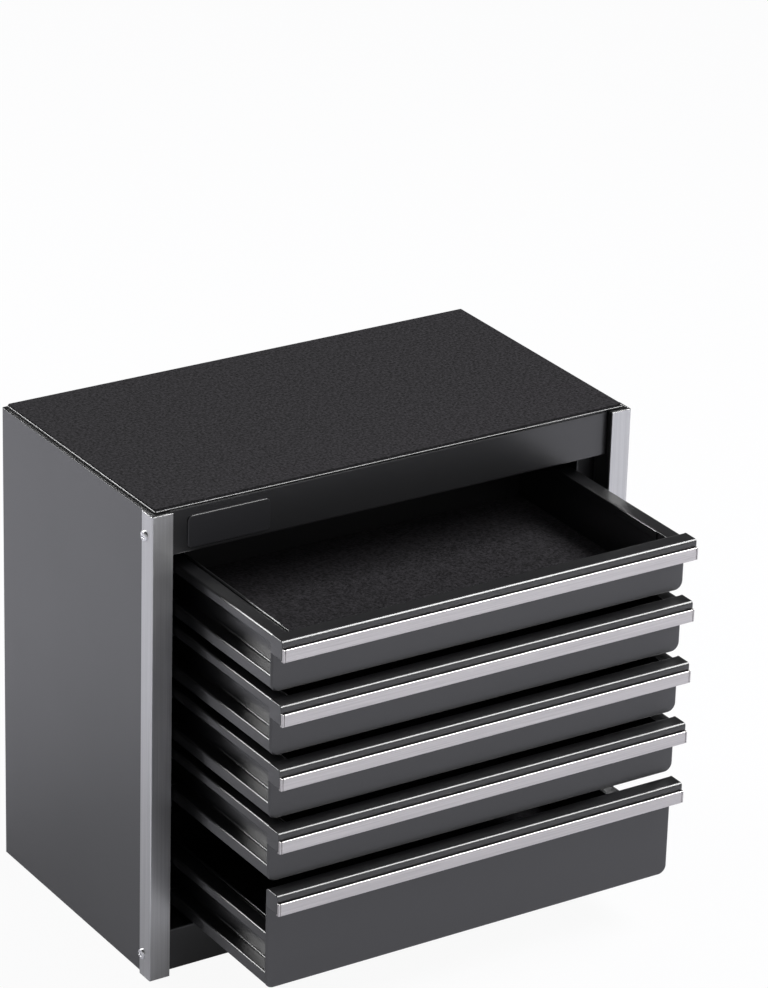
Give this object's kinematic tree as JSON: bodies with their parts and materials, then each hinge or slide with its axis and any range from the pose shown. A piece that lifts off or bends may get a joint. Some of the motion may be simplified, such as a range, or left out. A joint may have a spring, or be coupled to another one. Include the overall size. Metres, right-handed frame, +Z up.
{
  "type": "drawer tool box",
  "caption": "Bench-top steel drawer chest with sliding drawers in a folded sheet cabinet, hooded drawer fronts with aluminium pull strips, corner trims and a foam top mat.",
  "frame": {"origin": "middle of the footprint of the cabinet, on the surface that it stands on", "axes": "+X to the viewer's right, +Y to the back, +Z up; the drawers open along -Y"},
  "size_m": [0.3332, 0.2883, 0.3026],
  "materials": {
    "black_paint": "semi-gloss black powder coat",
    "trim_aluminium": "satin silver",
    "strip_aluminium": "brushed along its length",
    "screw_steel": "bright plated",
    "badge_plastic": "glossy black, bare",
    "foam_mat": "fine pebbled black foam"
  },
  "bodies": {
    "cabinet": {"side_panel_left": "black_paint", "side_panel_right": "black_paint", "back_panel": "black_paint", "base_plate": "black_paint", "top_lid": "black_paint", "top_mat": "foam_mat", "top_rail": "black_paint", "kick_rail": "black_paint", "corner_trim_left": "trim_aluminium", "corner_trim_right": "trim_aluminium", "trim_screws": "screw_steel", "badge_plate": "badge_plastic", "slide_carrier_left": "black_paint", "slide_carrier_right": "black_paint", "guide_rails_left": "black_paint", "guide_rails_right": "black_paint"},
    "drawer_1": {"drawer_1_tray": "black_paint", "drawer_1_side_runners": "black_paint", "drawer_1_front": "black_paint", "drawer_1_pull_strip": "strip_aluminium", "drawer_1_liner": "foam_mat"},
    "drawer_2": {"drawer_2_tray": "black_paint", "drawer_2_side_runners": "black_paint", "drawer_2_front": "black_paint", "drawer_2_pull_strip": "strip_aluminium", "drawer_2_liner": "foam_mat"},
    "drawer_3": {"drawer_3_tray": "black_paint", "drawer_3_side_runners": "black_paint", "drawer_3_front": "black_paint", "drawer_3_pull_strip": "strip_aluminium", "drawer_3_liner": "foam_mat"},
    "drawer_4": {"drawer_4_tray": "black_paint", "drawer_4_side_runners": "black_paint", "drawer_4_front": "black_paint", "drawer_4_pull_strip": "strip_aluminium", "drawer_4_liner": "foam_mat"},
    "drawer_5": {"drawer_5_tray": "black_paint", "drawer_5_side_runners": "black_paint", "drawer_5_front": "black_paint", "drawer_5_pull_strip": "strip_aluminium", "drawer_5_liner": "foam_mat"}
  },
  "joints": [
    {"name": "drawer_1_slide", "type": "slide", "parent": "cabinet", "child": "drawer_1", "axis": [0, -1, 0], "range_m": [-0.11, 0.004]},
    {"name": "drawer_2_slide", "type": "slide", "parent": "cabinet", "child": "drawer_2", "axis": [0, -1, 0], "range_m": [-0.11, 0.004]},
    {"name": "drawer_3_slide", "type": "slide", "parent": "cabinet", "child": "drawer_3", "axis": [0, -1, 0], "range_m": [-0.11, 0.004]},
    {"name": "drawer_4_slide", "type": "slide", "parent": "cabinet", "child": "drawer_4", "axis": [0, -1, 0], "range_m": [-0.11, 0.004]},
    {"name": "drawer_5_slide", "type": "slide", "parent": "cabinet", "child": "drawer_5", "axis": [0, -1, 0], "range_m": [-0.11, 0.004]}
  ]
}
